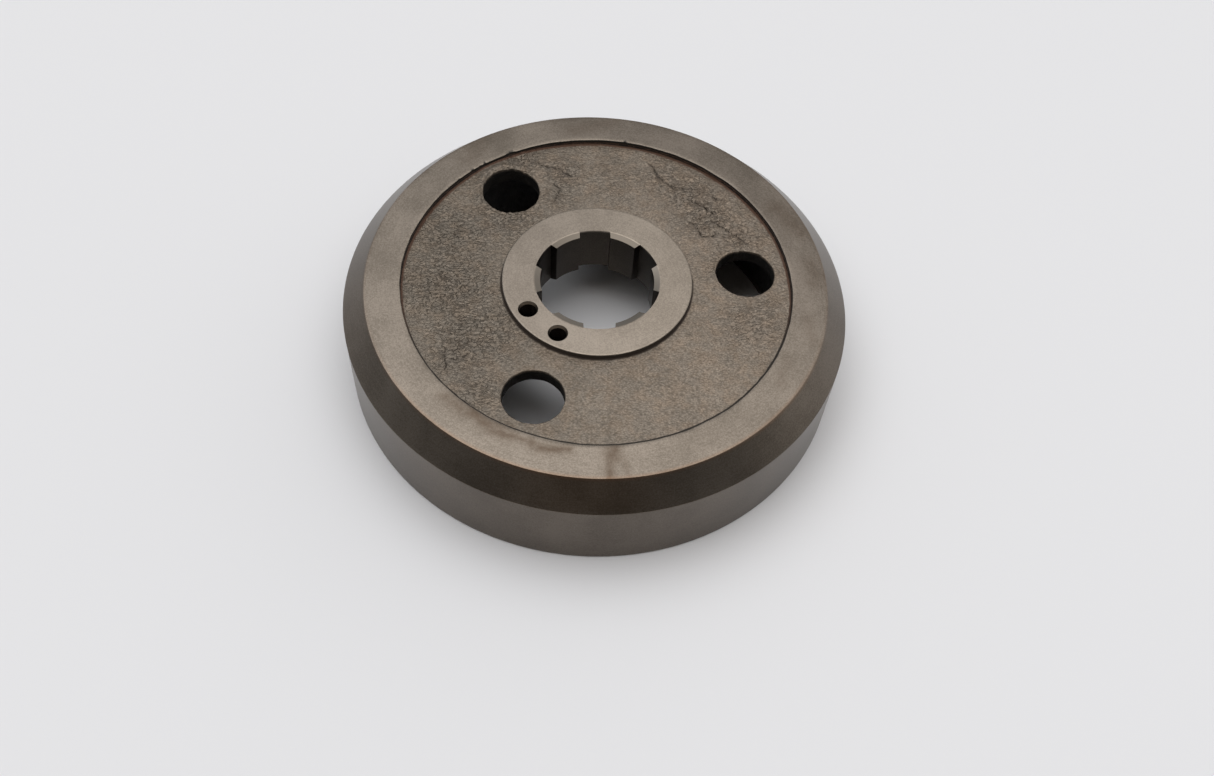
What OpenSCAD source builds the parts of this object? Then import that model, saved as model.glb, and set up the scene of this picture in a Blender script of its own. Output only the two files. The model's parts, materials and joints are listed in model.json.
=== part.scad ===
// Flywheel: a one-piece grey-iron casting, turned, broached and tapped.
// Millimetres. The axis is Z, the wheel stands on its back face at Z = 0, and its
// front face looks along +Z. One slot of the splined bore is centred on +Y.
// The casting is described zone by zone, as rim, web and hub, which meet face to face.

/* [Rim] */
// Outside diameter of the wheel
rim_d = 203.2; // [165:0.1:260]
// Height of the wheel, from its back face to its front face
rim_h = 43.7; // [34:0.1:60]
// Radial thickness of the rim where the web joins it
rim_w = 23.3; // [18:0.1:30]
// Radial width of the turned bevel around the front face
bevel_w = 9.2; // [4:0.1:14]
// Height of that bevel
bevel_h = 10.1; // [4:0.1:16]
// Chamfer on the turned corners of the back faces
edge_break = 0.8; // [0.2:0.1:2]

/* [Web] */
// Depth of the as-cast web below the front face
recess_depth = 2.7; // [1.5:0.1:5]
// Thickness of the web
web_t = 6.4; // [4:0.1:9]
// Fillet in the corners of the front recess
front_fillet = 1.2; // [0.4:0.1:1.4]
// Fillet where the back of the web meets the rim and the hub
back_fillet = 5; // [2:0.5:6]
// Draft of the cast walls behind the web, in degrees
draft = 3; // [1:0.5:6]
// Number of cored holes through the web
hole_count = 3; // [2:1:6]
// Metal left between a cored hole and the hub
hole_hub_gap = 10.7; // [4:0.1:16]
// Metal left between a cored hole and the rim
hole_rim_gap = 5.5; // [3:0.1:12]
// Angle of the first cored hole from +X
hole_turn = 4.5; // [0:0.5:60]

/* [Splined hub] */
// Diameter across the floors of the spline slots
spline_major_d = 50.8; // [42:0.1:62]
// Height of the spline teeth
tooth_h = 2.55; // [1.5:0.05:4]
// Width of a spline slot, between its parallel sides
slot_w = 12.6; // [8:0.1:15]
// Number of spline slots, which are opposite in pairs
slot_count = 6; // [4:2:6]
// Height of the shallow lead-in cone on each end of the teeth
lead_in_h = 0.7; // [0.3:0.1:2.5]
// Metal between the slot floors and the outside of the hub
hub_wall = 12.7; // [10:0.1:16]
// Length of the hub
hub_len = 21.3; // [18:0.1:30]

/* [Tapped holes] */
// Diameter of the tapping drill
tap_drill_d = 6.53; // [4:0.01:7]
// Diameter of the countersink at the mouth, which is the thread's outside diameter
tap_mouth_d = 7.94; // [5:0.01:8.5]
// Depth of the countersink
tap_mouth_h = 1.2; // [0.5:0.1:2]
// Angle of the first tapped hole from +X
tap_turn = 209; // [180:1:240]
// Angle between the two tapped holes
tap_spread = 30; // [20:1:60]

/* [Hidden] */
$fn = 144;

turned_iron = [0.62, 0.58, 0.53];
cast_iron = [0.46, 0.42, 0.37];
broached_iron = [0.68, 0.64, 0.59];

past = 1;                                  // how far a cut runs past a face
rim_r = rim_d / 2;
web_r = rim_r - rim_w;                     // where the web meets the rim
web_top = rim_h - recess_depth;
web_back = web_top - web_t;
seat_z = web_back - back_fillet;           // lower end of the web's back fillets
rim_back_r = web_r + seat_z * tan(draft);  // inside radius of the back face

major_r = spline_major_d / 2;
minor_r = major_r - tooth_h;
hub_r = major_r + hub_wall;
hub_z = rim_h - hub_len;
hub_back_r = hub_r - max(0, seat_z - hub_z) * tan(draft);

hole_r = (web_r - hub_r - hole_hub_gap - hole_rim_gap) / 2;
hole_circle_r = hub_r + hole_hub_gap + hole_r;
tap_circle_r = major_r + hub_wall / 2;     // the tapped holes stand mid-wall

// Heavy turned ring: a cylinder with a bevelled front and a drafted inner wall.
module rim() {
    color(turned_iron)
        rotate_extrude()
            polygon([
                [rim_back_r, 0],
                [rim_r - edge_break, 0],
                [rim_r, edge_break],
                [rim_r, rim_h - bevel_h],
                [rim_r - bevel_w, rim_h],
                [web_r, rim_h],
                [web_r, seat_z],
            ]);
}

// The metal a fillet adds in a corner at (x, z), on the side that the two signs give.
module fillet(x, z, radius, side_x, side_z) {
    translate([x, z])
        mirror([side_x < 0 ? 1 : 0, 0])
            mirror([0, side_z < 0 ? 1 : 0])
                difference() {
                    square(radius);
                    translate([radius, radius])
                        circle(radius);
                }
}

// Half section of the web: a flat plate that swells into the rim and the hub.
module web_section() {
    translate([hub_r, web_back])
        square([web_r - hub_r, web_t]);
    fillet(hub_r, web_top, front_fillet, 1, 1);
    fillet(web_r, web_top, front_fillet, -1, 1);
    fillet(hub_r, web_back, back_fillet, 1, -1);
    fillet(web_r, web_back, back_fillet, -1, -1);
}

// Cast web with its ring of cored holes.
module web() {
    color(cast_iron)
        difference() {
            rotate_extrude()
                web_section();
            for (i = [0:hole_count - 1])
                rotate(hole_turn + i * 360 / hole_count)
                    translate([hole_circle_r, 0, seat_z - past])
                        cylinder(r = hole_r, h = rim_h - seat_z + 2 * past);
        }
}

// Outline of the broached bore: a round hole with parallel-sided slots.
module spline_outline() {
    circle(minor_r);
    intersection() {
        circle(major_r);
        for (i = [0:slot_count / 2 - 1])
            rotate(i * 360 / slot_count)
                square([slot_w, spline_major_d + 2 * past], center = true);
    }
}

// Lead-in cone, with its wide end on the face at height z; way is +1 for the front.
module lead_in(z, way) {
    cone_h = lead_in_h + past;
    wide_r = major_r + tooth_h * past / lead_in_h;
    translate([0, 0, way > 0 ? z - lead_in_h : z - past])
        cylinder(r1 = way > 0 ? minor_r : wide_r, r2 = way > 0 ? wide_r : minor_r, h = cone_h);
}

// One tapped hole, at its drill diameter, with the countersink at its mouth.
module tapped_hole() {
    slope = (tap_mouth_d - tap_drill_d) / 2 / tap_mouth_h;
    translate([0, 0, hub_z - past])
        cylinder(d = tap_drill_d, h = hub_len + 2 * past);
    translate([0, 0, rim_h - tap_mouth_h])
        cylinder(r1 = tap_drill_d / 2, r2 = tap_mouth_d / 2 + slope * past, h = tap_mouth_h + past);
}

// Hub with its broached spline and the pair of tapped holes in its front face.
module hub() {
    color(broached_iron)
        difference() {
            rotate_extrude()
                polygon([
                    [0, hub_z],
                    [hub_back_r - edge_break, hub_z],
                    [hub_back_r, hub_z + edge_break],
                    [hub_r, seat_z],
                    [hub_r, rim_h],
                    [0, rim_h],
                ]);
            translate([0, 0, hub_z - past])
                linear_extrude(hub_len + 2 * past)
                    spline_outline();
            lead_in(rim_h, 1);
            lead_in(hub_z, -1);
            for (i = [0, 1])
                rotate(tap_turn + i * tap_spread)
                    translate([tap_circle_r, 0, 0])
                        tapped_hole();
        }
}

rim();
web();
hub();
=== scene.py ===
"""A bare cast-iron flywheel lying on its back face: a turned rim, an as-cast web and a splined hub."""

import json
import math

import bmesh
import bpy
import numpy as np
from mathutils import Euler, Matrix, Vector


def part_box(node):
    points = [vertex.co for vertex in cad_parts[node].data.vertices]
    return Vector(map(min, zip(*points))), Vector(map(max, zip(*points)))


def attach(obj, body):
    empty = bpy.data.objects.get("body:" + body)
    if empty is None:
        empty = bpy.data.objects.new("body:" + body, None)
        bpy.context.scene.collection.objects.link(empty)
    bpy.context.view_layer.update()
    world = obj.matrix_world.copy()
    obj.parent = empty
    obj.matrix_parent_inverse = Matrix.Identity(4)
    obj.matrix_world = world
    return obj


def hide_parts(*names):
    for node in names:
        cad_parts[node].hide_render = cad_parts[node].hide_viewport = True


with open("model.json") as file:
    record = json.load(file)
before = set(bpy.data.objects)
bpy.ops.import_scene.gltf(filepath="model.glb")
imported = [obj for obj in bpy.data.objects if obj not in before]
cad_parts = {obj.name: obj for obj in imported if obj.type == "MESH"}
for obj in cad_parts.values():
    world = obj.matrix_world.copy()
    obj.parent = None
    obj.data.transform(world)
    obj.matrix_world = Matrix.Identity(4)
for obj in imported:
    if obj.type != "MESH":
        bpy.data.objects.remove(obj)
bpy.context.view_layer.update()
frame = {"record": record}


# Studio. A plain pale table, a room that is bright overhead and dim where the viewer stands,
# and the camera, which looks down at the wheel from the front at about 53 degrees.

view_turn = math.radians(-95.1)      # where the camera stands around the wheel, from +X
view_rise = math.radians(53.33)
view_distance = 0.5172
sensor = 36.0
lens = 35.66
aim_off = Euler((-0.0361, -0.0139, 0.0651))   # how far the wheel's foot is off the lens axis, and the roll

viewer = Vector((math.cos(view_turn), math.sin(view_turn), 0))
place = view_distance * (math.cos(view_rise) * viewer + Vector((0, 0, math.sin(view_rise))))
camera = bpy.data.objects.new("camera", bpy.data.cameras.new("camera"))
camera.data.sensor_width = sensor
camera.data.lens = lens
camera.data.clip_start = 0.01
camera.location = place
camera.rotation_mode = "QUATERNION"
yaw, pitch, roll = (Euler(turn).to_quaternion() for turn in
                    ((0, aim_off.y, 0), (aim_off.x, 0, 0), (0, 0, aim_off.z)))
camera.rotation_quaternion = (-place).to_track_quat("-Z", "Y") @ yaw @ pitch @ roll
bpy.context.scene.collection.objects.link(camera)
bpy.context.scene.camera = camera
bpy.context.scene.view_settings.view_transform = "Standard"


class Wire:
    """One output socket of a shader node. Arithmetic on it adds Math nodes to its tree."""

    def __init__(self, tree, socket=None):
        self.tree, self.socket = tree, socket

    def node(self, kind, sockets, output=0, **settings):
        """Adds a node, makes its settings, links or fills the sockets named, and gives one output."""
        made = self.tree.nodes.new(kind)
        for name, value in settings.items():
            setattr(made, name, value)
        for name, value in sockets.items():
            if isinstance(value, Wire):
                self.tree.links.new(value.socket, made.inputs[name])
            else:
                made.inputs[name].default_value = value
        return Wire(self.tree, made.outputs[output])

    def math(self, operation, *values):
        """A Math node on the wires and numbers given."""
        return self.node("ShaderNodeMath", dict(enumerate(values)), operation=operation)

    def __add__(self, other):
        return self.math("ADD", self, other)

    def __sub__(self, other):
        return self.math("SUBTRACT", self, other)

    def __mul__(self, other):
        return self.math("MULTIPLY", self, other)

    def __rsub__(self, other):
        return self.math("SUBTRACT", other, self)

    def __abs__(self):
        return self.math("ABSOLUTE", self)

    __radd__, __rmul__ = __add__, __mul__

    def at_least(self, other):
        """The larger of this wire and another wire or number."""
        return self.math("MAXIMUM", self, other)

    def vector(self, operation, *others, output=0):
        """A Vector Math node on this vector and the others given. Output 1 is a plain number."""
        values = dict(enumerate((self, *others)))
        return self.node("ShaderNodeVectorMath", values, output, operation=operation)

    def axis(self, index):
        """How far this place is along x, y or z, for an index of 0, 1 or 2."""
        return self.node("ShaderNodeSeparateXYZ", {0: self}, index)

    def ease(self, start, end):
        """0 before start and 1 past end, with a smooth turn between them; start may be the larger."""
        return self.node("ShaderNodeMapRange", {"Value": self, "From Min": start, "From Max": end},
                         interpolation_type="SMOOTHSTEP")

    def mix(self, low, high):
        """A colour that goes from low to high as this wire goes from 0 to 1."""
        low, high = (colour if isinstance(colour, Wire) else (*colour, 1) for colour in (low, high))
        return self.node("ShaderNodeMix", {0: self, 6: low, 7: high}, output=2, data_type="RGBA")

    def noise(self, size, detail=2, roughness=0.5):
        """Noise from about 0.2 to 0.8 whose lumps are size metres across, read at this wire's place."""
        return self.node("ShaderNodeTexNoise", {"Vector": self, "Scale": 1 / size, "Detail": detail,
                                                "Roughness": roughness})


world = bpy.data.worlds.new("studio")
world.use_nodes = True
bpy.context.scene.world = world
sky = world.node_tree.nodes["Background"]
way = Wire(world.node_tree).node("ShaderNodeTexCoord", {})
height = way.axis(2)


def side_of(direction):
    """How far a direction of the room lies towards the one given: 1 along it and -1 away from it."""
    return way.vector("DOT_PRODUCT", direction, output=1)


# The room is dim low down, with a bright wall on the right, a window on the left and a lit ceiling.
# Whoever stands over the table is dark and warm in colour against it.
room_light = 0.20
wall_light = 0.80
window_light = 0.26
ceiling_light = 2.25
stand_light = 0.16
stand_rise = math.radians(42)
right = Vector((0, 0, 1)).cross(viewer)
stand = side_of(viewer * math.cos(stand_rise) + Vector((0, 0, math.sin(stand_rise)))).ease(0.84, 0.92)
low_down = height.ease(0.95, 0.25)
bright_wall = side_of(0.75 * right - 0.66 * viewer).ease(0.2, 1.0) * low_down
window = side_of(-0.8 * right - 0.6 * viewer).ease(0.2, 1.0)
ceiling = height.ease(0.58, 0.99) * (1.0 - 0.58 * side_of(right))
room = room_light + wall_light * bright_wall + window_light * window + ceiling_light * ceiling
light = room * (1 - stand) + stand_light * stand
tint = stand.mix(window.mix((1, 1, 1), (0.93, 0.985, 1.05)), (1.18, 1.0, 0.84))
world.node_tree.links.new(light.socket, sky.inputs["Strength"])
world.node_tree.links.new(tint.socket, sky.inputs["Color"])

table = bpy.data.objects.new("table", bpy.data.meshes.new("table"))
table_half = 4.0
table.data.from_pydata([(-table_half, -table_half, 0), (table_half, -table_half, 0),
                        (table_half, table_half, 0), (-table_half, table_half, 0)], [], [(0, 1, 2, 3)])
table.data.materials.append(bpy.data.materials.new("pale paper"))
table.data.materials[0].use_nodes = True
paper = table.data.materials[0].node_tree.nodes["Principled BSDF"]
paper.inputs["Base Color"].default_value = (0.75, 0.748, 0.76, 1)
paper.inputs["Roughness"].default_value = 0.9
bpy.context.scene.collection.objects.link(table)


# Rim: the heavy outer ring, cast in grey iron in one piece with the web. Its front face, bevel,
# outside and back face are turned bright, and oil has stained the face. The wall of the recess in
# front and the drafted wall behind the web are left as cast.

mm = 0.001
rim_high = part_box("rim")[1]
web_low, web_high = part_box("web")
rim_r, front = rim_high.x, rim_high.z
recess_r = web_high.x
web_foot = web_low.z
bevel = (9.2 * mm, 10.1 * mm)
back_chamfer = 0.8 * mm
draft = math.radians(3)
back_r = recess_r + web_foot * math.tan(draft)


def lumps(x, y, size, seed):
    """Smooth hills and hollows between about -1 and 1. A lattice of random slopes, size apart, is
    blended between its four nearest corners with the ease 6t^5 - 15t^4 + 10t^3."""
    lattice = 256
    turns = np.random.default_rng(seed).uniform(0, 2 * np.pi, (lattice, lattice))
    u, v = x / size, y / size
    i, j = np.floor(u).astype(int), np.floor(v).astype(int)
    s, t = u - i, v - j

    def corner(a, b):
        turn = turns[(i + a) % lattice, (j + b) % lattice]
        return np.cos(turn) * (s - a) + np.sin(turn) * (t - b)

    ease_s, ease_t = (w ** 3 * (w * (6 * w - 15) + 10) for w in (s, t))
    low = corner(0, 0) * (1 - ease_s) + corner(1, 0) * ease_s
    high = corner(0, 1) * (1 - ease_s) + corner(1, 1) * ease_s
    return 1.5 * (low * (1 - ease_t) + high * ease_t)


def ease(value, start, end):
    """0 before start and 1 past end, along 3t^2 - 2t^3 between them; start may be the larger."""
    t = np.clip((value - start) / (end - start), 0, 1)
    return t * t * (3 - 2 * t)


def rounded_outline(corners, step):
    """A closed outline from (r, z, radius) corners. Each is turned on an arc that touches both of its
    sides, and the straight runs are filled with points no more than step apart."""
    corners = np.array(corners, float)
    spots, radii = corners[:, :2], corners[:, 2]
    arcs = []
    for before, here, after, radius in zip(np.roll(spots, 1, 0), spots, np.roll(spots, -1, 0), radii):
        back, on = (before - here) / math.dist(before, here), (after - here) / math.dist(after, here)
        half = 0.5 * math.acos(back @ on)
        middle = here + (back + on) / np.linalg.norm(back + on) * radius / math.sin(half)
        first, last = (here + side * radius / math.tan(half) - middle for side in (back, on))
        sweep = math.atan2(first[0] * last[1] - first[1] * last[0], first @ last)
        turns = math.atan2(first[1], first[0]) + sweep * np.linspace(0, 1, 5)
        arcs.append(middle + radius * np.stack([np.cos(turns), np.sin(turns)], 1))
    runs = []
    for arc, following in zip(arcs, arcs[1:] + arcs[:1]):
        gap = math.dist(arc[-1], following[0])
        share = np.linspace(0, 1, max(2, math.ceil(gap / step) + 1))[1:-1, None]
        runs += [arc, arc[-1] + share * (following[0] - arc[-1])]
    return np.concatenate(runs)


def add_piece(name, points, quads, sharp=30, **marks):
    """A closed mesh from points and quads. Doubles are merged, points that no face uses are dropped,
    faces are turned outwards, and edges sharper than sharp degrees are shaded as edges. Each mark is
    one number per point, which the material reads by its name."""
    mesh = bpy.data.meshes.new(name)
    mesh.from_pydata(points, [], quads)
    for mark, values in marks.items():
        mesh.attributes.new(mark, "FLOAT", "POINT").data.foreach_set("value", np.ravel(values))
    work = bmesh.new()
    work.from_mesh(mesh)
    bmesh.ops.delete(work, geom=[v for v in work.verts if not v.link_faces], context="VERTS")
    bmesh.ops.remove_doubles(work, verts=work.verts, dist=0.001 * mm)
    bmesh.ops.recalc_face_normals(work, faces=work.faces)
    work.to_mesh(mesh)
    work.free()
    mesh.shade_smooth()
    mesh.set_sharp_from_angle(angle=math.radians(sharp))
    piece = bpy.data.objects.new(name, mesh)
    bpy.context.scene.collection.objects.link(piece)
    return piece


def lathe(r, z, turns):
    """Points and quads of a closed outline carried round the axis: x = r cos turn and y = r sin turn,
    where r and z may change with the turn."""
    x, y = r * np.cos(turns), r * np.sin(turns)
    points = np.stack([x, y, np.broadcast_to(z, x.shape)], -1).reshape(-1, 3)
    rows, columns = x.shape
    at = np.arange(rows * columns).reshape(rows, columns)
    on, up = np.roll(at, -1, 1), np.roll(at, -1, 0)
    quads = np.stack([at, on, np.roll(on, -1, 0), up], -1).reshape(-1, 4)
    return points, quads


def recess_wobble(x, y):
    """How far the cast wall of the recess strays from its circle, in metres, outwards."""
    return 0.22 * mm * lumps(x, y, 22 * mm, 1) + 0.10 * mm * lumps(x, y, 5 * mm, 2)


outline = rounded_outline([
    (back_r, 0, 0.4 * mm),
    (rim_r - back_chamfer, 0, 0.2 * mm),
    (rim_r, back_chamfer, 0.2 * mm),
    (rim_r, front - bevel[1], 0.35 * mm),
    (rim_r - bevel[0], front, 0.3 * mm),
    (recess_r, front, 0.18 * mm),
    (recess_r, web_foot, 8 * mm),
], 1.4 * mm)
turns = np.linspace(0, 2 * np.pi, 720, endpoint=False)[None, :]
r, z = outline[:, :1] * np.ones_like(turns), outline[:, 1:] * np.ones_like(turns)
x, y = r * np.cos(turns), r * np.sin(turns)

# The cast walls are grainy.
cast_grain = 0.12 * mm
cast_wall = ease(r, recess_r + 0.5 * mm, recess_r + 0.05 * mm) * (z > web_foot)
cast_back = ease(r, back_r + 0.3 * mm, back_r - 0.3 * mm) * ease(z, 0, 3 * mm) * (z <= web_foot)
edge_gap = np.hypot(r - recess_r, z - front)
r = r + cast_wall * recess_wobble(x, y)
grainy = cast_wall * ease(z, front - 0.1 * mm, front - 1 * mm) + cast_back
r = r + grainy * cast_grain * (lumps(x + z, y - z, 2.5 * mm, 3) + lumps(x - z, y + z, 1.4 * mm, 4))

# Chips have broken out of the recess's edge where the web stands high, each given as its turn and its
# width in degrees and its depth in mm.
chips = ((78.9, 0.5, 0.5), (115.3, 0.5, 0.35), (116.4, 0.6, 0.6), (117.6, 0.4, 0.3),
         (125.6, 0.4, 0.5), (127.2, 0.3, 0.3), (130.3, 0.5, 0.45), (136.0, 0.4, 0.3))
bite = np.zeros_like(r)
for turn, width, depth in chips:
    aside = np.degrees(turns) - turn + 0.3 * lumps(x, y, 1.5 * mm, 5)
    bite = np.maximum(bite, depth * mm * np.exp(-(aside / width) ** 2))
bite = bite * ease(edge_gap, 2.2 * mm, 0.3 * mm)
r = r + bite
z = z - 0.3 * bite * (edge_gap < 1.2 * mm)


def gap_to_path(x, y, path):
    """The distance to the nearest place of a path, whose corners are given as (x, y)."""
    gap = np.full_like(x, 1.0)
    for start, end in zip(path, path[1:]):
        run = np.subtract(end, start)
        share = np.clip(((x - start[0]) * run[0] + (y - start[1]) * run[1]) / (run @ run), 0, 1)
        gap = np.minimum(gap, np.hypot(x - start[0] - share * run[0], y - start[1] - share * run[1]))
    return gap


# Stains of dried oil on the face, each given as its strength, its width in mm, and the places that it
# runs through as a radius in mm and a turn in degrees.
x, y = r * np.cos(turns), r * np.sin(turns)
bent_x, bent_y = (v + 1.2 * mm * lumps(x, y, 5 * mm, seed) for v, seed in ((x, 6), (y, 7)))
stains = ((0.60, 3.0, ((81.5, 224), (81.3, 230))),
          (0.85, 2.8, ((80.0, 232), (81.5, 240), (81.2, 246))),
          (0.75, 2.0, ((81.2, 246), (81.8, 251))),
          (0.90, 2.5, ((82.6, 253), (82.2, 256.5), (81.0, 260))),
          (0.85, 3.6, ((79, 271.9), (83, 271.7))), (0.80, 2.1, ((83, 271.2), (92, 270.6))),
          (0.4, 1.2, ((84, 275.0), (92, 274.6))), (0.3, 2.6, ((84, 346), (89, 339))),
          (0.25, 2.2, ((82, 331), (85, 322))), (0.45, 4.0, ((86, 27), (89, 16))),
          (0.40, 3.5, ((87, 5), (88, 358))), (0.7, 0.8, ((91.8, 0.6), (91.9, 0.2))),
          (0.35, 4.5, ((85, 128), (92, 120))), (0.35, 4.0, ((84, 95), (90, 84))))
stained = np.zeros_like(r)
for strength, width, places in stains:
    path = [(reach * mm * math.cos(math.radians(turn)), reach * mm * math.sin(math.radians(turn)))
            for reach, turn in places]
    stain = np.exp(-(gap_to_path(bent_x, bent_y, path) / (width * mm)) ** 2)
    stained = np.maximum(stained, strength * stain)

# What the material needs to know of each point: whether it is cast skin, in front of the web or behind
# it, how stained it is, and how brown, along the line where the face meets the bevel, most where y is low.
as_cast = ease(z, front - 0.05 * mm, front - 0.15 * mm) * (z > web_foot) * (r < recess_r + 2 * mm)
worn = np.exp(-((r - rim_r + bevel[0]) / (0.3 * mm)) ** 2) * (z > front - 2 * mm)
worn = worn * (0.12 + 0.36 * ease(-y / r, 0.25, 0.80))
rim = add_piece("turned_rim", *lathe(r, z, turns), as_cast=as_cast, behind=cast_back,
                stained=stained, worn=worn)


def iron(name):
    """A material, its Principled shader, and the place on the object as a wire."""
    material = bpy.data.materials.new(name)
    material.use_nodes = True
    shader = material.node_tree.nodes["Principled BSDF"]
    where = Wire(material.node_tree).node("ShaderNodeTexCoord", {}, output="Object")
    return material, shader, where


def finish_iron(material, shader, colour, metal, rough, relief, depth):
    """Feeds the shader its colour, how bare and how rough the metal is, and relief depth metres deep."""
    bump = relief.node("ShaderNodeBump", {"Height": relief, "Distance": depth, "Strength": 1.0})
    feeds = {"Base Color": colour, "Metallic": metal, "Roughness": rough, "Normal": bump}
    for name, wire in feeds.items():
        material.node_tree.links.new(wire.socket, shader.inputs[name])


def mark(where, name):
    """A number that the piece's points carry."""
    return where.node("ShaderNodeAttribute", {}, output=2, attribute_name=name)


def reach_of(where):
    """The distance from the wheel's axis."""
    return where.vector("MULTIPLY", (1, 1, 0)).vector("LENGTH", output=1)


def pebbled(where):
    """Relief of sand-cast iron, from about 0 to 1: round pebbles left by the sand, and two sizes of
    grain between them."""
    bent = where.vector("MULTIPLY", (0.9, 1.25, 1.0))
    pebble = bent.node("ShaderNodeTexVoronoi", {"Vector": bent, "Scale": 1 / (0.85 * mm),
                                                "Smoothness": 0.4, "Randomness": 1.0}, feature="SMOOTH_F1")
    grain = where.noise(0.7 * mm, 3, 0.6)
    fine = where.noise(0.3 * mm, 2, 0.6)
    return 0.55 * grain + 0.30 * (1 - pebble) + 0.15 * fine


def burnt_skin_and_shade(where):
    """Colour of the skin inside the cored holes and the hollow: blackened by the cores, and darker still
    as painted shade.
    """
    return where.noise(5 * mm, 3, 0.6).ease(0.35, 0.70).mix((0.006, 0.005, 0.004), (0.019, 0.016, 0.013))


def tooled(where):
    """Shade, roughness and relief of machined iron: streaks that follow the tool round the axis, fine
    flecks of graphite, and faint clouds. A streak is long round the axis and narrow across it."""
    streak_width = 0.45 * mm
    streaks_around = 7
    turn = where.vector("MULTIPLY", (1, 1, 0)).vector("NORMALIZE")
    across = turn.node("ShaderNodeCombineXYZ", {2: (reach_of(where) - where.axis(2)) * (1 / streak_width)})
    track = turn.vector("MULTIPLY", (streaks_around, streaks_around, 0)).vector("ADD", across)
    streak = track.noise(1.0, 3, 0.6)
    cloud = where.noise(24 * mm, 4, 0.55)
    fleck = where.noise(0.55 * mm, 2, 0.7)
    shade = (0.40 * cloud + 0.14 * streak + 0.46 * fleck).ease(0.36, 0.64)
    return shade, 0.22 + 0.12 * cloud + 0.06 * streak, streak


def blend(wire, low, high):
    """A number that goes from low to high as wire goes from 0 to 1."""
    return low + wire * (high - low)


dried_oil = (0.092, 0.065, 0.046)
edge_line_brown = (0.190, 0.110, 0.065)
rust_brown = (0.105, 0.058, 0.038)
wall_shade_black = (0.016, 0.013, 0.010)
wall_shade_depth = 1.30 * mm      # how far down the recess's wall turns from black to rust
cast_rough = 0.75
streak_relief = 0.02
skin_depth = 0.22 * mm

material, shader, where = iron("turned iron")
height_now = where.axis(2)
shade, rough, streak = tooled(where)
side = shade.mix((0.100, 0.082, 0.065), (0.158, 0.133, 0.109))
face = shade.mix((0.146, 0.122, 0.098), (0.258, 0.218, 0.179))
# The face's colour is made darker towards +X and +Y. Whether the real one's finish varies isn't known.
face_darker_to_plus_xy = where.vector("DOT_PRODUCT", (0.8, 0.6, 0), output=1).ease(20 * mm, 85 * mm)
face = face.vector("MULTIPLY", face_darker_to_plus_xy.mix((1, 1, 1), (0.85, 0.85, 0.86)))
stain = mark(where, "stained") * (0.65 + 0.35 * where.noise(2.5 * mm, 3, 0.6).ease(0.35, 0.6))
on_face = (height_now - (front - 0.30 * mm)).ease(0, 0.15 * mm)
bright = on_face.mix(side, stain.mix(face, dried_oil))
bright = mark(where, "worn").mix(bright, edge_line_brown)
# Painted shade: the recess's cast wall is black down to that depth, and rust below it.
ragged_depth = wall_shade_depth - 0.8 * mm * (where.noise(3 * mm) - 0.5)
low_wall = (front - height_now - ragged_depth).ease(-0.3 * mm, 0.3 * mm)
skin = low_wall.mix(wall_shade_black, rust_brown)
skin = mark(where, "behind").mix(skin, burnt_skin_and_shade(where))
cast = mark(where, "as_cast").at_least(mark(where, "behind"))
finish_iron(material, shader, cast.mix(bright, skin), 1.0 - 0.9 * cast, blend(cast, rough, cast_rough),
            cast * pebbled(where) + (1 - cast) * streak * streak_relief, skin_depth)
rim.data.materials.append(material)
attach(rim, "root")
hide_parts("rim")


# Web: the grey-iron plate between rim and hub, cast in one piece with them and left as it came out of
# the sand, with three cored holes. Its skin is pebbled, and folded into creases where the iron ran
# together late.

openings = {o["name"]: np.array(o["box_m"]) for o in frame["record"]["physics"]["openings"]}
hole_centres = [openings["cored_hole_" + which].mean(0)[:2] for which in "abc"]
hub_low, hub_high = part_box("hub")
hub_r = hub_high.x
hole_r = 12.0 * mm
hole_edge = 0.45 * mm
front_fillet = 1.2 * mm
back_fillet = 5.0 * mm
web_top = web_high.z - front_fillet
web_back = web_foot + back_fillet
hidden = 0.8 * mm        # how far the web runs on inside its neighbours
half_cells = 20          # grid cells from the middle of a hole to its side
around = 636             # columns round the web, a multiple of three so that the holes match


def pierced_ring(radii, turns, holes, fade_out):
    """Points of a flat ring on rows of one radius and columns of one angle, opened by round holes, with
    its quads and each hole's loop of points. A block of cells is left out around each hole. Near it, a
    point's share of the block's half width becomes its distance from the centre in hole radii, and
    this change fades out at fade_out half widths."""
    rows, columns = len(radii), len(turns)
    r, a = np.meshgrid(radii, turns, indexing="ij")
    x, y = r * np.cos(a), r * np.sin(a)
    at = np.arange(rows * columns).reshape(rows, columns)
    kept = np.ones((rows - 1, columns), bool)
    loops = []
    for centre, edge, (row_0, row_1), (column_0, column_1) in holes:
        turn, middle = math.atan2(centre[1], centre[0]), math.hypot(*centre)
        aside = (a - turn + np.pi) % (2 * np.pi) - np.pi
        out = r - middle
        sides = np.abs([aside[0, column_0], aside[0, column_1 % columns]])
        depths = np.abs([radii[row_0] - middle, radii[row_1] - middle])
        share_a = aside / np.where(aside < 0, *sides)
        share_r = out / np.where(out < 0, *depths)
        near = np.maximum(np.abs(share_a), np.abs(share_r))
        length = np.maximum(np.hypot(share_a, share_r), 1e-9)
        step_out, step_on = edge * near * share_r / length, edge * near * share_a / length
        fade = ease(near, fade_out, 1)
        x += fade * (centre[0] + math.cos(turn) * step_out - math.sin(turn) * step_on - x)
        y += fade * (centre[1] + math.sin(turn) * step_out + math.cos(turn) * step_on - y)
        span = np.arange(column_0, column_1 + 1)
        depth = np.arange(row_0, row_1 + 1)
        kept[row_0:row_1, span[:-1] % columns] = False
        loops.append(np.concatenate([
            at[row_0, span[:-1] % columns], at[depth[:-1], column_1 % columns],
            at[row_1, span[:0:-1] % columns], at[depth[:0:-1], column_0 % columns]]))
    on = np.roll(at, -1, 1)
    quads = np.stack([at[:-1], on[:-1], on[1:], at[1:]], -1)[kept]
    return x, y, quads, loops, at


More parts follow.
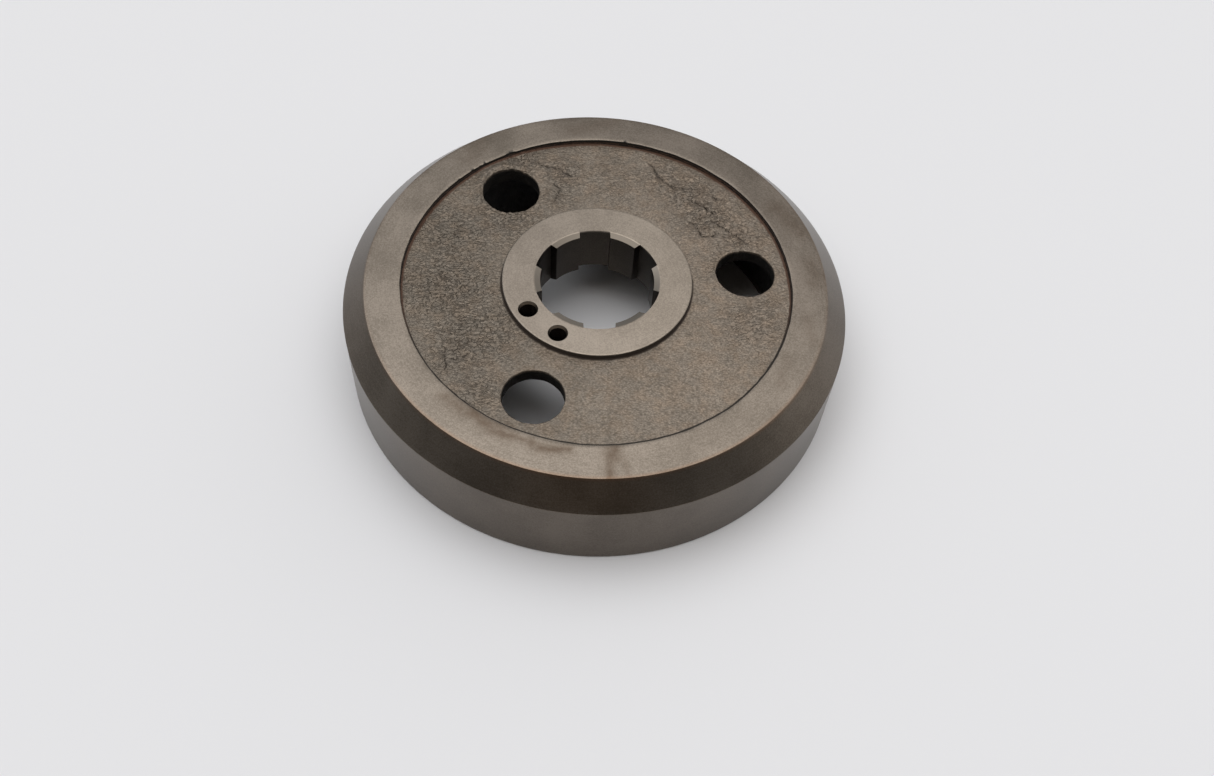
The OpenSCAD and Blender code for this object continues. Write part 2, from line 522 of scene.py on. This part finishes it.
def joined(rings):
    """Quads between loops of point numbers, each loop closed on itself."""
    at = np.array(rings)
    on = np.roll(at, -1, 1)
    return np.stack([at[:-1], on[:-1], on[1:], at[1:]], -1).reshape(-1, 4)


curl = 1 - np.cos(np.linspace(0, np.pi / 2, 7))
hole_middle = math.hypot(*hole_centres[0])
block = hole_middle + hole_r * np.linspace(-1, 1, 2 * half_cells + 1)
near_hub = hub_r + front_fillet * curl
near_rim = recess_r - front_fillet * curl[::-1]
radii = np.concatenate([[hub_r - hidden], near_hub, np.linspace(near_hub[-1], block[0], 17)[1:-1], block,
                        np.linspace(block[-1], near_rim[0], 9)[1:-1], near_rim, [recess_r + hidden]])
turns = math.atan2(hole_centres[0][1], hole_centres[0][0]) + 2 * np.pi * np.arange(around) / around
row_0 = int(np.argmin(np.abs(radii - block[0])))
rows = (row_0, row_0 + 2 * half_cells)
mouth_r = hole_r + hole_edge
holes = [(centre, mouth_r, rows, (k * around // 3 - half_cells, k * around // 3 + half_cells))
         for k, centre in enumerate(hole_centres)]
x, y, quads, loops, at = pierced_ring(radii, turns, holes, fade_out=1.42)
for centre, unevenness in zip(hole_centres, (0.10, 0.24, 0.10)):     # the cores left uneven edges
    gap = np.hypot(x - centre[0], y - centre[1])
    ragged = unevenness * mm * ease(gap, mouth_r + 4 * mm, mouth_r + 0.5 * mm)
    x, y = (v + ragged * (lumps(x, y, 5 * mm, seed) + 0.35 * lumps(x, y, 1.7 * mm, seed + 1))
            for v, seed in ((x, 8), (y, 9)))
r = np.hypot(x, y)
stretch = 1 + ease(r, recess_r - 5 * mm, recess_r) * recess_wobble(x, y) / r
x, y, r = x * stretch, y * stretch, r * stretch
wall_r = recess_r + recess_wobble(x, y)


def fillet_rise(gap, radius):
    """Height of a fillet above the plate, gap away from its wall: the radius less the side of a right
    triangle whose long side is the radius and whose other side is the radius less gap."""
    return radius - np.sqrt(np.maximum(radius ** 2 - np.clip(radius - gap, 0, radius) ** 2, 0))


def hide(x, y, turn, along, across, seed):
    """Round-topped lumps parted by sharp creases, from 0 to about 1: smooth hills and hollows without
    their sign. The lumps are along metres long in the direction turn, and across metres wide."""
    u, v = x * math.cos(turn) + y * math.sin(turn), y * math.cos(turn) - x * math.sin(turn)
    bend = 0.35 * across
    u, v = u + bend * lumps(x, y, across, seed + 1), v + bend * lumps(x, y, across, seed + 2)
    return np.abs(lumps(u / along, v / across, 1, seed))


def patches(x, y, places):
    """The strongest of some soft round patches, each given as (x, y, spread, strength) in mm."""
    found = np.zeros_like(x)
    for place_x, place_y, spread, strength in places:
        gap = np.hypot(x / mm - place_x, y / mm - place_y) / spread
        found = np.maximum(found, strength * np.exp(-gap ** 2))
    return found


# Seen from the front with +Y up, the skin is wrinkled in a band across the top right and round the
# hole at the top left, finely wrinkled over the left side, and nearly smooth at the lower right. Cold
# shuts, lines where two flows of iron failed to join, run through it. Their corners are in mm.
wrinkled = patches(x, y, ((30, 58, 9, 0.7), (41, 48, 11, 1.0), (48, 36, 12, 1.0), (60, 24, 9, 0.9),
                          (52, 10, 7, 0.4), (-12, 60, 9, 0.8), (-30, 66, 9, 0.9), (-14, 47, 8, 0.6),
                          (-44, 56, 8, 0.6), (-56, -34, 10, 0.8), (66, -14, 8, 0.5)))
finely = patches(x, y, ((-60, 0, 18, 1.0), (-58, 26, 15, 0.9), (-50, -24, 16, 0.9), (-36, 40, 16, 0.9),
                        (-46, -52, 10, 0.6), (60, -22, 12, 0.6), (10, 56, 14, 0.4), (56, 12, 14, 0.6)))
shuts = (((26, 66.4), (29, 58.4), (33, 54.2), (35.3, 51)), ((33, 54.2), (38.7, 52.1), (45.2, 52.1)),
         ((41.2, 45.3), (45.6, 42.7), (49, 39.2), (51.1, 37.1)),
         ((40.1, 32.6), (43, 31.1), (43.4, 27.1), (45, 24.7), (48.8, 24.9), (50.8, 26.6)),
         ((50.3, 32.6), (54.9, 29.1), (58.9, 25.2), (62.3, 21.2)),
         ((51.4, 47.9), (52.6, 45.3), (56.1, 45.6)),
         ((-59.6, -32.5), (-60, -35.1), (-59, -37.7), (-59.7, -41.9)), ((-56.6, -33.5), (-53.7, -31.5)),
         ((-57.3, -37.2), (-54.4, -37.5), (-51.4, -35.2)), ((-16.5, 54.6), (-14, 52), (-16, 45)),
         ((-26.7, 70.8), (-21.6, 65.4), (-13.8, 63.6), (-8.7, 59.1)))
bent_x, bent_y = (v + 0.7 * mm * lumps(x, y, 2.6 * mm, seed) + 0.3 * mm * lumps(x, y, 1.2 * mm, seed + 1)
                  for v, seed in ((x, 15), (y, 17)))
shut_gap = np.min([gap_to_path(bent_x, bent_y, np.multiply(path, mm)) for path in shuts], axis=0)
shut_width = 0.5 * mm
shut_depth = 0.55 * mm
shut = np.exp(-(shut_gap / shut_width) ** 2)
coarse = hide(x, y, math.radians(-40), 3.4 * mm, 2.2 * mm, 19)
small = hide(x, y, math.radians(4), 2.4 * mm, 1.5 * mm, 22)
swell = patches(x, y, ((-40, 64, 13, 1.0), (-28, 71, 9, 0.8)))
relief = 1.0 * mm * swell + 0.18 * mm * lumps(x, y, 17 * mm, 11) + 0.07 * mm * lumps(x, y, 4 * mm, 12)
relief = relief + wrinkled * 1.15 * mm * (coarse - 0.35)
relief = relief + (0.22 + 0.78 * finely) * 0.85 * mm * (small - 0.35)
relief = relief - shut_depth * shut
creased = np.maximum(wrinkled * ease(coarse, 0.16, 0), finely * 0.7 * ease(small, 0.16, 0))
hollow = np.maximum(shut, creased)
# The iron rose into a lip round the outer side of the second hole.
lip = np.hypot(x - hole_centres[1][0], y - hole_centres[1][1]) - mouth_r
relief = relief + 0.7 * mm * np.exp(-((lip - 1.6 * mm) / (1.5 * mm)) ** 2) * ease(y - x, 78 * mm, 96 * mm)

rise = np.maximum(fillet_rise(r - hub_r, front_fillet), fillet_rise(wall_r - r, front_fillet))
top = web_top + relief * ease(rise, front_fillet, 0.3 * front_fillet) + rise
drop = np.maximum(fillet_rise(r - hub_r, back_fillet), fillet_rise(wall_r - r, back_fillet))
back = web_back - drop + 0.12 * mm * lumps(x, y, 9 * mm, 21) + 0.06 * mm * lumps(x, y, 2.2 * mm, 22)
points = [np.stack([x, y, top], -1).reshape(-1, 3), np.stack([x, y, back], -1).reshape(-1, 3)]
faces = [quads, quads + at.size, joined([at[0], at[0] + at.size]), joined([at[-1], at[-1] + at.size])]

# Each hole's wall: over the rounded mouth, down a slightly uneven bore, and out round the other edge.
count = 2 * at.size
over = np.linspace(0, np.pi / 2, 5)
inset = np.concatenate([np.sin(over), np.ones(5), np.sin(over[::-1])])
level = np.concatenate([1 - np.cos(over), np.zeros(5), 1 - np.cos(over[::-1])])
share = np.concatenate([np.zeros(5), np.linspace(0, 1, 7)[1:-1], np.ones(5)])
depths = []
for loop, centre in zip(loops, hole_centres):
    ring_x, ring_y = x.flat[loop], y.flat[loop]
    away_x, away_y = ring_x - centre[0], ring_y - centre[1]
    ring_top, ring_back = top.flat[loop] - hole_edge, back.flat[loop] + hole_edge
    drop, inward = share[1:-1, None], inset[1:-1, None]
    z = ring_top * (1 - drop) + ring_back * drop
    round_off = np.where((drop == 0) | (drop == 1), 1 - level[1:-1, None], 0)
    z = z + np.where(drop < 0.5, 1, -1) * hole_edge * round_off
    uneven = 0.10 * mm * lumps(ring_x + z, ring_y - z, 3 * mm, 24) * inward
    narrower = (mouth_r - hole_edge * inward + uneven) / mouth_r
    wall = np.stack([centre[0] + away_x * narrower, centre[1] + away_y * narrower, z], -1)
    points.append(wall.reshape(-1, 3))
    depths.append(ease(top.flat[loop] - z, 0.3 * mm, 0.9 * mm).ravel())
    inner = count + np.arange(z.size).reshape(z.shape)
    faces.append(joined([loop, *inner, loop + at.size]))
    count += z.size

# What the material needs to know of each point: how deep it lies in a crease, how wrinkled the skin is,
# how far it is from the rim's wall and from a cold shut, and whether it is down a hole or at the back.
points = np.concatenate(points)
crevice, folded, buried = np.zeros((3, len(points)))
wall_gap, line_gap = np.full((2, len(points)), 1.0)
crevice[:at.size] = hollow.ravel()
folded[:at.size] = np.clip(np.maximum(wrinkled, finely), 0, 1).ravel()
buried[at.size:2 * at.size] = 1
buried[2 * at.size:] = np.concatenate(depths)
wall_gap[:at.size], line_gap[:at.size] = (wall_r - r).ravel(), shut_gap.ravel()
web = add_piece("cast_web", points, np.concatenate(faces), sharp=60, crevice=crevice, folded=folded,
                buried=buried, wall_gap=wall_gap, line_gap=line_gap)

dark_crevice = (0.040, 0.031, 0.024)
dark_crease = (0.050, 0.040, 0.031)
dark_line = (0.030, 0.024, 0.019)
shadow_and_grime_black = (0.028, 0.023, 0.018)
corner_shade_black = (0.020, 0.015, 0.012)
hub_corner_shade_brown = (0.040, 0.029, 0.022)
crease_width = 0.040         # in the noise that the creases are contour lines of
rough_clean, rough_dirty = 0.47, 0.72

material, shader, where = iron("cast skin")
# The clean skin: light on the pebbles and dark between them, mottled brown and grey; the dark between
# the pebbles is painted shade along with the skin's own mottle. Its tone is made lighter towards +X,
# which may not be so in the real finish.
pebbles = pebbled(where)
shade = (0.9 * pebbles + 0.22 * (where.noise(9 * mm, 4, 0.6) - 0.5)).ease(0.24, 0.76)
brown = where.noise(6 * mm, 3, 0.6).ease(0.36, 0.68)
between = brown.mix((0.121, 0.101, 0.080), (0.128, 0.100, 0.074))
on_top = brown.mix((0.298, 0.250, 0.201), (0.315, 0.251, 0.193))
lighter_to_plus_x = where.axis(0).ease(-60 * mm, 60 * mm).mix((0.91, 0.92, 0.93), (1.09, 1.08, 1.08))
skin = shade.mix(between, on_top).vector("MULTIPLY", lighter_to_plus_x)
# Grime in the corner under the rim: a rusty strip, made black and crisp where y is lowest, where the
# black is painted shadow along with grime.
reach = reach_of(where)
down = (where.axis(1) * (-1 / recess_r)).at_least(0.0)
lowest = down.ease(0.0, 0.45)
broad = (1 - lowest) * 1.3 * mm + lowest * (0.30 * mm + 1.97 * mm * down)
strip = broad + 0.5 * mm * (where.noise(4 * mm) - 0.5) - mark(where, "wall_gap")
rust_and_shadow = (strip * blend(lowest, 1.6, 4.5)).ease(0, 1 * mm)
# Painted shade: a thin black line in the corner where the web meets the rim's wall.
black = reach.ease(recess_r - 0.35 * mm, recess_r - 0.05 * mm)
# Painted shade in the corner round the hub, with an uneven edge.
uneven = 0.8 * mm * (where.noise(4 * mm) - 0.5)
hub_corner_shade = (reach + uneven).ease(hub_r + 1.0 * mm, hub_r + 0.3 * mm)
# Cold shuts, and fine creases where the skin is folded: the lines where stretched noise is half way.
line = mark(where, "line_gap").ease(0.34 * mm, 0.06 * mm)
crevice = mark(where, "crevice")
folded = mark(where, "folded")
folds = where.vector("MULTIPLY", (0.75, 1.3, 1.0)).noise(2.4 * mm, 2, 0.5) - 0.5
crease = (abs(folds).ease(crease_width, 0.0) * (0.08 + 0.92 * folded)).at_least(line)
# Painted shade: the colour is darkened in the crevices, the fine creases and the cold shuts.
colour = (crevice * 0.50).mix(skin, dark_crevice)
colour = (crease * 0.38).mix(colour, dark_crease)
colour = (line * 0.5).mix(colour, dark_line)
colour = rust_and_shadow.mix(colour, lowest.mix(rust_brown, shadow_and_grime_black))
colour = black.mix(colour, corner_shade_black)
colour = hub_corner_shade.mix(colour, hub_corner_shade_brown)
deep = mark(where, "buried")
colour = deep.mix(colour, burnt_skin_and_shade(where))
clean = (1 - deep) * (1 - 0.8 * rust_and_shadow.at_least(hub_corner_shade)) * (1 - 0.6 * crevice)
finish_iron(material, shader, colour, 0.70 * clean, blend(clean, rough_dirty, rough_clean),
            pebbles * (0.65 + 0.35 * folded) - 0.7 * crease, 0.50 * mm)
shader.inputs["Specular IOR Level"].default_value = 0.25
web.data.materials.append(material)
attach(web, "root")
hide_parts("web")


# Hub: the centre of the grey-iron casting, which slides on a splined shaft. It is faced level with
# the rim, its bore is broached with six parallel-sided slots, and two tapped holes stand in its face.

mounts = {mount["name"]: mount for mount in frame["record"]["mounts"]}
hub_foot = hub_low.z
minor_r = mounts["spline_bore"]["dims"]["r_mm"] * mm
major_r = 25.4 * mm
slot_half = 6.3 * mm
slot_count = 6
lead_in = 0.7 * mm
drill_r = mounts["tapped_hole_a"]["dims"]["r_mm"] * mm
tap_centres = [np.array(mounts["tapped_hole_" + which]["pos_m"])[:2] for which in "ab"]
thread_r = 3.97 * mm
countersink = 1.2 * mm
pitch = 25.4 * mm / 18
face_edge = 0.35 * mm

# Columns: the same number across each slot's floor and each tooth, so both meet the face's columns.
floor_half = math.asin(slot_half / major_r)
period = 2 * math.pi / slot_count
floor_columns, tooth_columns = 44, 46
floor_turns = np.linspace(-floor_half, floor_half, floor_columns + 1)[:-1]
tooth_turns = np.linspace(floor_half, period - floor_half, tooth_columns + 1)[:-1]
slot_turn = np.pi / 2 + period * np.arange(slot_count)[:, None]
face_turns = (slot_turn + np.concatenate([floor_turns, tooth_turns])).ravel()
tap_middle = math.hypot(*tap_centres[0])
tap_half = 12            # grid cells from the middle of a tapped hole to its side
tap_block = 1.06         # half the depth of the block of cells around it, in its radii
tap_rows = np.linspace(-1, 1, 2 * tap_half + 1) * thread_r * tap_block + tap_middle
radii = np.concatenate([np.linspace(major_r, tap_rows[0], 6)[:-1], tap_rows,
                        np.linspace(tap_rows[-1], hub_r - face_edge, 6)[1:]])
holes = []
for centre in tap_centres:
    turn = math.atan2(centre[1], centre[0])
    nearest = int(np.argmin(np.abs((face_turns - turn + np.pi) % (2 * np.pi) - np.pi)))
    holes.append((centre, thread_r, (5, 5 + 2 * tap_half), (nearest - tap_half, nearest + tap_half)))
x, y, quads, loops, at = pierced_ring(radii, face_turns, holes, fade_out=1.32)
size = at.size
points = [np.stack([x, y, np.full_like(x, face_z)], -1).reshape(-1, 3) for face_z in (front, hub_foot)]
faces = [quads, quads + size]
count = 2 * size

# Outside: a small rounded edge at each face, and a straight cast wall between them.
over = np.linspace(0, np.pi / 2, 6)[1:]
hub_back_r = hub_r - (web_foot - hub_foot) * math.tan(draft)
wall_r = np.concatenate([hub_r - face_edge * (1 - np.sin(over)), [hub_r, hub_r],
                         np.linspace(hub_r, hub_back_r, 8)[1:],
                         hub_back_r - face_edge * (1 - np.cos(over))])
wall_z = np.concatenate([front - face_edge * (1 - np.cos(over)), [web_top, web_foot],
                         np.linspace(web_foot, hub_foot + face_edge, 8)[1:],
                         hub_foot + face_edge * (1 - np.sin(over))])
wall_r, turns = np.meshgrid(wall_r, face_turns, indexing="ij")
wall_z = wall_z[:, None] * np.ones_like(wall_r)
x, y = wall_r * np.cos(turns), wall_r * np.sin(turns)
rough_part = ease(wall_z, web_foot, web_foot - 1 * mm) * ease(wall_z, hub_foot, hub_foot + 2 * mm)
wobble = 1 + rough_part * 0.1 * mm * lumps(x + wall_z, y - wall_z, 2.5 * mm, 31) / wall_r
points.append(np.stack([x * wobble, y * wobble, wall_z], -1).reshape(-1, 3))
inner = count + np.arange(x.size).reshape(x.shape)
faces.append(joined([at[-1], *inner, at[-1] + size]))
count += x.size


def bore_ring(tooth_r):
    """The bore's outline where its teeth reach in to tooth_r. The slots' sides stay parallel, so a
    tooth's corners lie where its sides cross that radius."""
    corner = math.asin(slot_half / tooth_r)
    side = np.linspace(0, 1, 4)[1:, None] * np.array([tooth_r * math.cos(corner)
                                                      - major_r * math.cos(floor_half), 0])
    side = side + np.array([major_r * math.cos(floor_half), slot_half])
    tooth = np.linspace(corner, period - corner, tooth_columns + 1)[1:-1]
    floor = np.linspace(-floor_half, floor_half, floor_columns + 1)
    mirrored = side[::-1] * (1, -1)
    local = np.concatenate([
        mirrored, major_r * np.stack([np.cos(floor), np.sin(floor)], 1), side,
        tooth_r * np.stack([np.cos(tooth), np.sin(tooth)], 1)])
    turn_x, turn_y = np.cos(slot_turn), np.sin(slot_turn)
    return np.stack([local[:, 0] * turn_x - local[:, 1] * turn_y,
                     local[:, 0] * turn_y + local[:, 1] * turn_x], -1).reshape(-1, 2)


cone = np.linspace(0, 1, 5)
tooth_r = np.concatenate([major_r + (minor_r - major_r) * cone, [minor_r] * 6,
                          minor_r + (major_r - minor_r) * cone])
bore_z = np.concatenate([front - lead_in * cone, np.linspace(front - lead_in, hub_foot + lead_in, 8)[1:-1],
                         hub_foot + lead_in * (1 - cone)])
rings = np.stack([np.column_stack([bore_ring(r_now), np.full(len(bore_ring(r_now)), z_now)])
                  for r_now, z_now in zip(tooth_r, bore_z)])
points.append(rings.reshape(-1, 3))
inner = count + np.arange(rings.shape[0] * rings.shape[1]).reshape(rings.shape[:2])
faces.append(joined([*inner]))
count += inner.size

# Tapped holes: a countersink, then a right-hand thread whose ridge stands in to the drill's radius.
rings_per_turn = 10
thread_top, thread_foot = front - countersink, hub_foot
rounds = (thread_top - thread_foot) / pitch
depth = np.linspace(0, 1, int(rounds * rings_per_turn))[1:-1, None]
down_cone = np.linspace(0, 1, 5)[1:, None]
for loop, centre in zip(loops, tap_centres):
    ring = points[0][loop][:, :2] - centre
    around_hole = np.arctan2(ring[:, 1], ring[:, 0])[None, :]
    z = thread_top + (thread_foot - thread_top) * depth
    phase = ((front - z) / pitch + around_hole / (2 * np.pi)) % 1
    ridge = np.clip(np.abs(2 * phase - 1) * 1.35 - 0.2, 0, 1)
    fade = ease(z, thread_top + 0.1 * mm, thread_top - 0.6 * mm)
    wall = drill_r + (thread_r - drill_r) * 0.85 * ridge * fade
    cone_z = front - countersink * down_cone * np.ones_like(around_hole)
    cone_wall = thread_r + (drill_r - thread_r) * down_cone * np.ones_like(around_hole)
    wall, z = np.concatenate([cone_wall, wall]), np.concatenate([cone_z, z * np.ones_like(wall)])
    x, y = centre[0] + wall * np.cos(around_hole), centre[1] + wall * np.sin(around_hole)
    points.append(np.stack([x, y, z], -1).reshape(-1, 3))
    inner = count + np.arange(z.size).reshape(z.shape)
    faces.append(joined([loop, *inner, loop + size]))
    count += z.size
hub = add_piece("splined_hub", np.concatenate(points), np.concatenate(faces), sharp=28)

thread_shade_black = (0.010, 0.008, 0.007)
outside_shade_brown = (0.045, 0.033, 0.025)
outside_rough = 0.7

material, shader, where = iron("broached iron")
reach, height_now = reach_of(where), where.axis(2)
shade, rough, streak = tooled(where)
# The faced front is bright, and its tone is made lighter towards +X, like the web's.
lighter_to_plus_x = where.axis(0).ease(-30 * mm, 34 * mm).mix((0.98, 0.98, 0.98), (1.13, 1.13, 1.12))
bright = shade.mix((0.187, 0.157, 0.128), (0.290, 0.247, 0.204)).vector("MULTIPLY", lighter_to_plus_x)
# Painted shade: the bore is dark below the lead-in cone, and the tapped holes, with oil in them, are
# black below their countersinks.
tapped = (reach - (major_r + 0.4 * mm)).ease(0, 0.1 * mm)
above = (height_now - (front - blend(tapped, lead_in, 1.15 * mm)) + 0.05 * mm).ease(0, 0.1 * mm)
bore_and_holes_shaded = tapped.mix(shade.mix((0.040, 0.033, 0.027), (0.068, 0.057, 0.046)), thread_shade_black)
# Painted shade: the cone itself is made darker on the side of +Y.
on_cone = (front - 0.03 * mm - height_now).ease(0, 0.06 * mm) * (major_r - reach).ease(0, 0.15 * mm)
cone_shade_side = where.axis(1).ease(5 * mm, 18 * mm)
cone_lit_and_shaded = cone_shade_side.mix((0.195, 0.170, 0.142), (0.125, 0.107, 0.088))
colour = above.mix(bore_and_holes_shaded, on_cone.mix(bright, cone_lit_and_shaded))
# The outside is cast skin: dark brown above the web as painted shade, and burnt black behind the web.
below_face = (front - 0.15 * mm - height_now).ease(0, 0.1 * mm)
outside = (reach - (hub_back_r - 0.6 * mm)).ease(0, 0.2 * mm) * below_face
skin = (height_now - web_back).ease(0, 1 * mm).mix(burnt_skin_and_shade(where), outside_shade_brown)
finish_iron(material, shader, outside.mix(colour, skin), 1.0 - 0.9 * outside,
            blend(outside, rough, outside_rough),
            outside * pebbled(where) + (1 - outside) * streak * streak_relief, skin_depth)
hub.data.materials.append(material)
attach(hub, "root")
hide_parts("hub")
